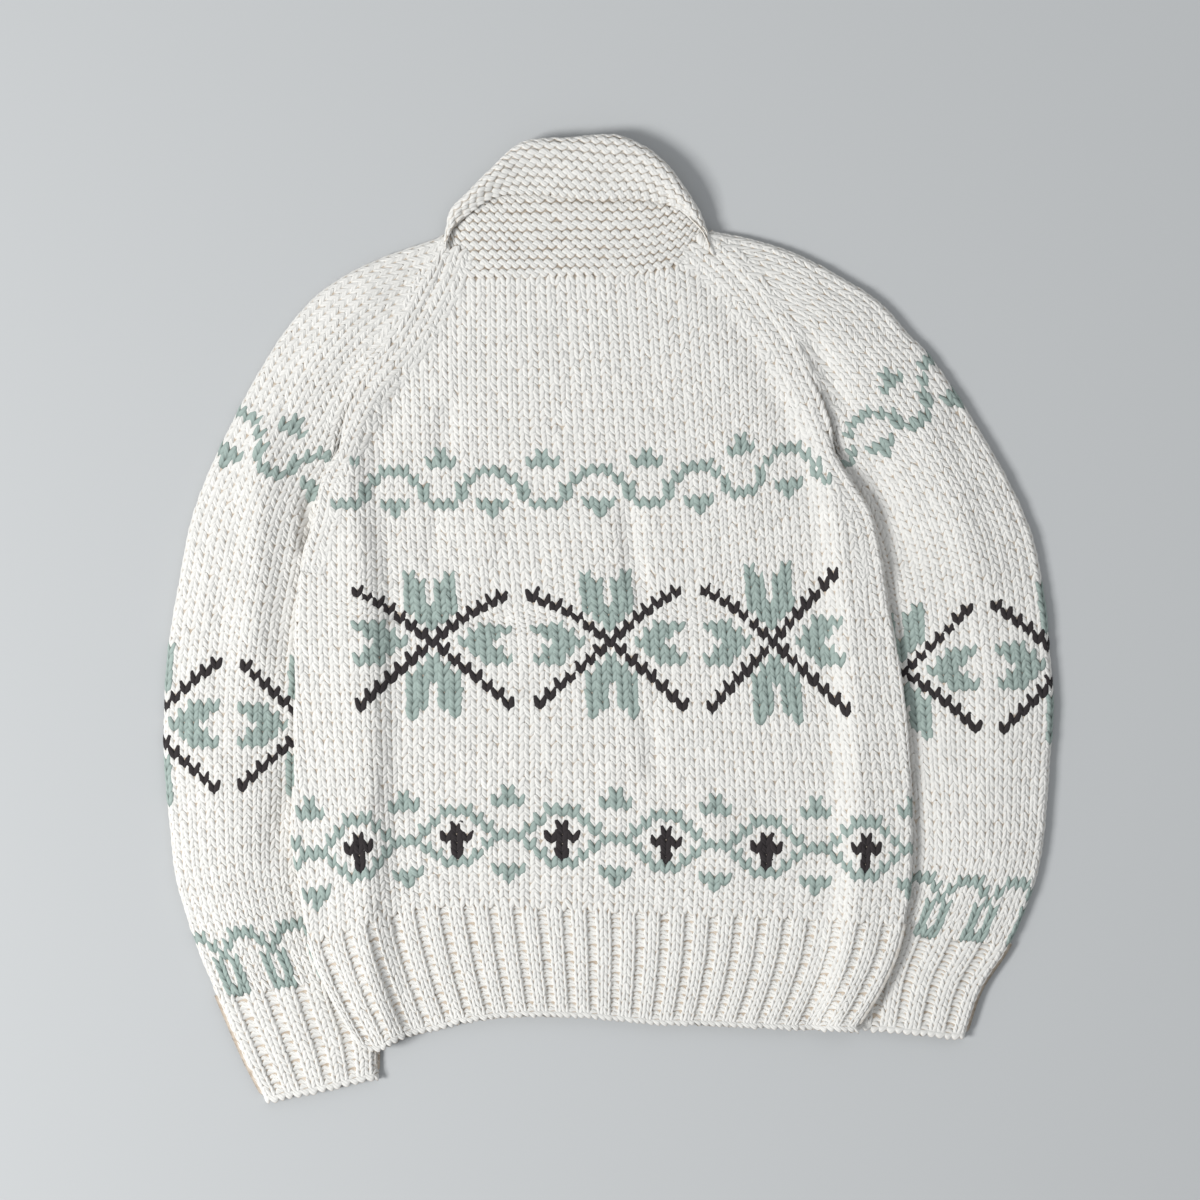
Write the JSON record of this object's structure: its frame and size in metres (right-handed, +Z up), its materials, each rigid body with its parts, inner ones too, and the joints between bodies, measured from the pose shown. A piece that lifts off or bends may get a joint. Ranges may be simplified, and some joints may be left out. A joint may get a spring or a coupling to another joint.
{
  "type": "knitted shawl-collar cardigan, laid flat",
  "caption": "Chunky hand-knitted raglan cardigan with a folded shawl collar, ribbed hem and cuffs, and colour-work bands, laid flat with its back up.",
  "frame": {"origin": "on the surface the garment lies on, under the middle of its outline", "axes": "+Y runs from the hem to the neck, +X to the wearer's right, and +Z up from the surface, out of the garment's back"},
  "size_m": [0.8, 0.8638, 0.0238],
  "materials": {
    "cream_rib": "thick matt wool in two-and-one rib",
    "colour_knit": "thick matt wool in stocking stitch, cream with sage green and charcoal colour work",
    "garter_collar": "thick matt wool in garter stitch"
  },
  "bodies": {
    "root": {"back": "colour_knit", "hem_back": "cream_rib", "front_left": "colour_knit", "front_right": "colour_knit", "hem_front_left": "cream_rib", "hem_front_right": "cream_rib", "sleeve_left": "colour_knit", "sleeve_right": "colour_knit", "cuff_left": "cream_rib", "cuff_right": "cream_rib", "collar_back": "garter_collar", "collar_front_left": "garter_collar", "collar_front_right": "garter_collar"}
  },
  "joints": []
}
